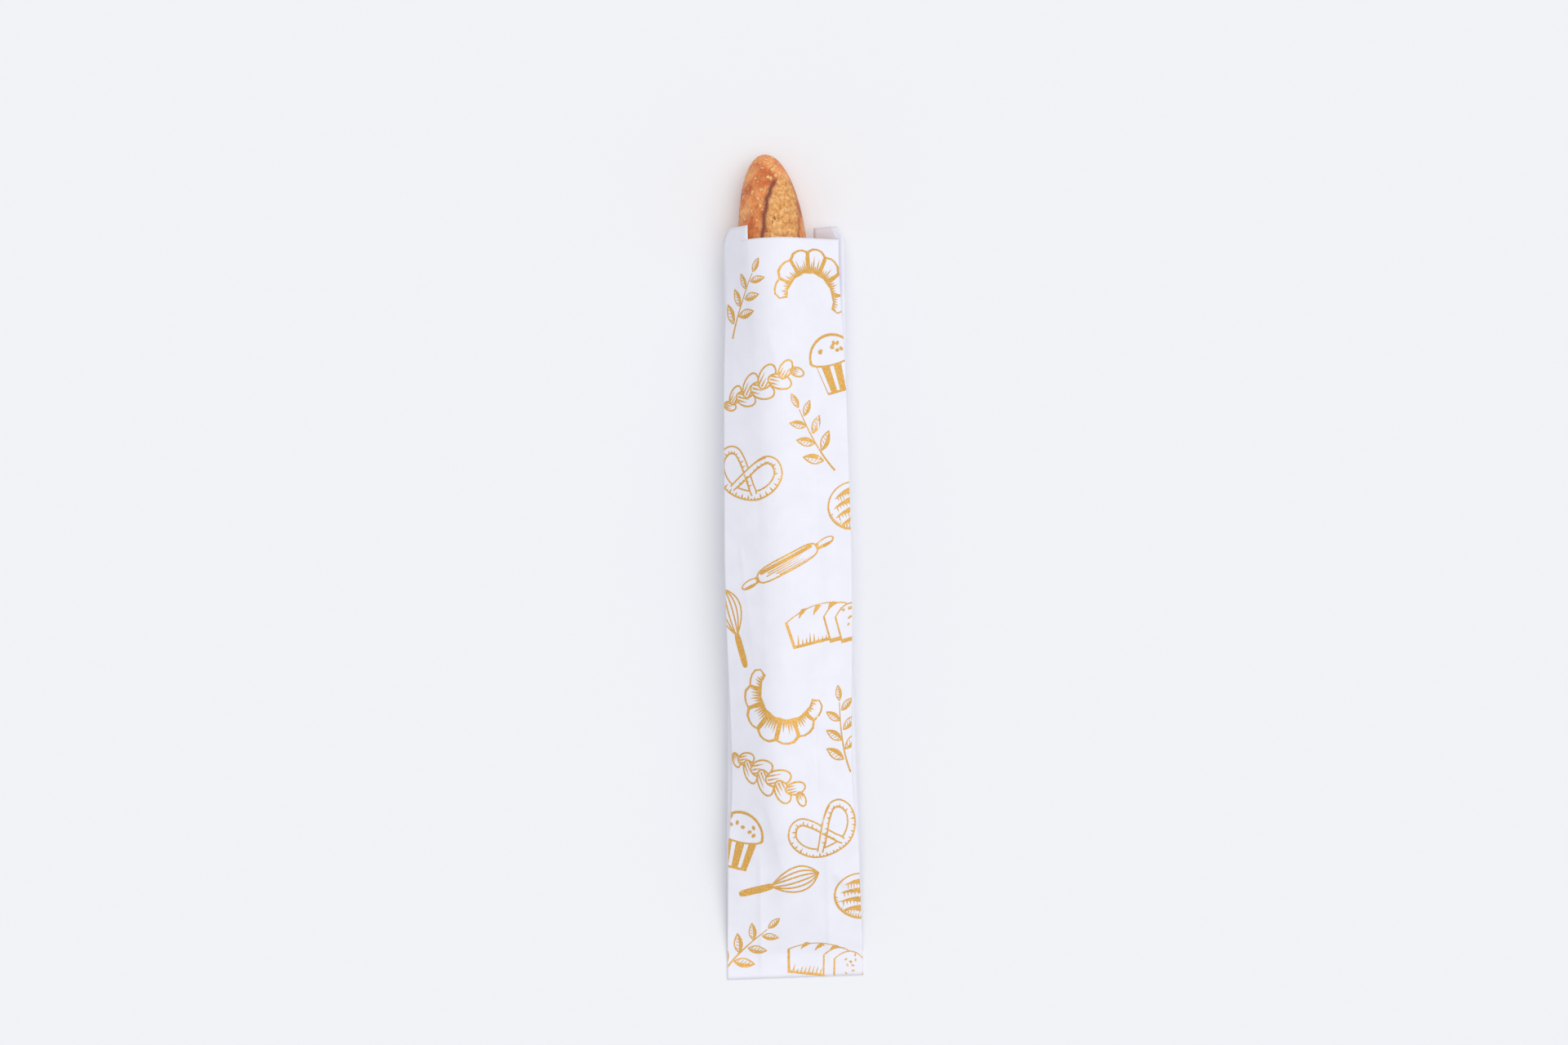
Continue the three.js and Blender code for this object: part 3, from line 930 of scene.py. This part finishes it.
def buildLoaf():
    rings, sides = loaf["rings"], loaf["sides"]
    bm = bmesh.new()
    openLayer = bm.verts.layers.float.new("opened")
    scorchLayer = bm.verts.layers.float.new("scorched")
    bmesh.ops.create_grid(bm, x_segments=sides, y_segments=rings, size=0.5)
    for v in bm.verts:
        turn = (v.co.x + 0.5) * 2 * math.pi
        t = v.co.y + 0.5
        y = loafFoot + loaf["length"] * (1 - math.cos(math.pi * t)) / 2
        x, z = loafPoint(y, turn, 0)
        lift, opened, scorched = slashAt(y, turn)
        share = loafShare(y)
        rise = max(0, math.sin(turn))
        cut = lift * share - loaf["ridge"] * rise * 0.8
        spot = Vector((math.cos(turn) * 30, y, math.sin(turn) * 30))
        bumps = 0.3 * noise.noise(spot / 3.4) + 0.5 * noise.noise(spot / 18) - 0.25
        bumps -= opened * (0.3 + 0.9 * abs(noise.noise(spot / 3.2)))
        cut = (cut + bumps * smooth(rise * 3 + 0.15)) * share
        v.co = Vector((x + math.cos(turn) * cut, y - yMiddle, z + math.sin(turn) * cut)) * mm
        v[openLayer] = opened
        v[scorchLayer] = scorched
    bmesh.ops.remove_doubles(bm, verts=bm.verts, dist=2e-6)
    bmesh.ops.recalc_face_normals(bm, faces=bm.faces)
    obj = finished("crusty_loaf", bm)
    obj.data.materials.append(crust())
    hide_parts("baguette")
    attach(obj, "root")


buildLoaf()
print("loaf built")


# Table, light and camera
stageSizes = {"floor": 6.0, "cameraHeight": 1.605, "cameraX": -3.2, "cameraAbove": 335.3, "roll": -0.9,
              "lens": 50, "sensor": 36, "sky": 0.58,
              "keyEnergy": 1.53, "keyAngle": 70, "keyFrom": (0.43, 0.28, 1.6)}


def paleBackdrop(tree, sky):
    # behind the floor the eye sees the floor's own pale colour, while the sky goes on lighting the bag
    path = addNode(tree, "ShaderNodeLightPath")
    seen = path.outputs["Is Camera Ray"]
    for ray in ("Is Glossy Ray", "Is Transmission Ray"):
        either = addNode(tree, "ShaderNodeMath", links={0: seen, 1: path.outputs[ray]}, operation="MAXIMUM")
        seen = either.outputs[0]
    backdrop = addNode(tree, "ShaderNodeBackground", {"Color": srgb("#F2F3F7"), "Strength": 1.0})
    surfaces = {0: seen, 1: sky.outputs[0], 2: backdrop.outputs[0]}
    mixed = addNode(tree, "ShaderNodeMixShader", links=surfaces)
    tree.links.new(mixed.outputs[0], tree.nodes["World Output"].inputs["Surface"])


def buildStage():
    bm = bmesh.new()
    bmesh.ops.create_grid(bm, x_segments=1, y_segments=1, size=stageSizes["floor"] / 2)
    floor = finished("floor", bm, False)
    floor.location.z = -0.1 * mm  # a hair under the bag, so the two never share a face
    floor.data.materials.append(plainFloor())
    world = bpy.data.worlds.new("studio")
    bpy.context.scene.world = world
    world.use_nodes = True
    sky = world.node_tree.nodes["Background"]
    sky.inputs["Color"].default_value = srgb("#F9F9FB")
    sky.inputs["Strength"].default_value = stageSizes["sky"]
    paleBackdrop(world.node_tree, sky)
    lamp = bpy.data.lights.new("key", "SUN")  # a wide soft box, high on the right
    lamp.angle = math.radians(stageSizes["keyAngle"])
    lamp.energy = stageSizes["keyEnergy"]
    key = bpy.data.objects.new("key", lamp)
    key.location = stageSizes["keyFrom"]
    key.rotation_euler = key.location.to_track_quat("Z", "Y").to_euler()
    bpy.context.scene.collection.objects.link(key)
    camera = bpy.data.objects.new("camera", bpy.data.cameras.new("camera"))
    camera.data.lens = stageSizes["lens"]
    camera.data.sensor_width = stageSizes["sensor"]
    cameraY = stageSizes["cameraAbove"] - yMiddle  # measured from the bag's bottom
    camera.location = (stageSizes["cameraX"] * mm, cameraY * mm, stageSizes["cameraHeight"])
    camera.rotation_euler = (0, 0, math.radians(stageSizes["roll"]))
    bpy.context.scene.collection.objects.link(camera)
    bpy.context.scene.camera = camera
    bpy.context.scene.view_settings.view_transform = "Standard"


buildStage()
print("stage built")
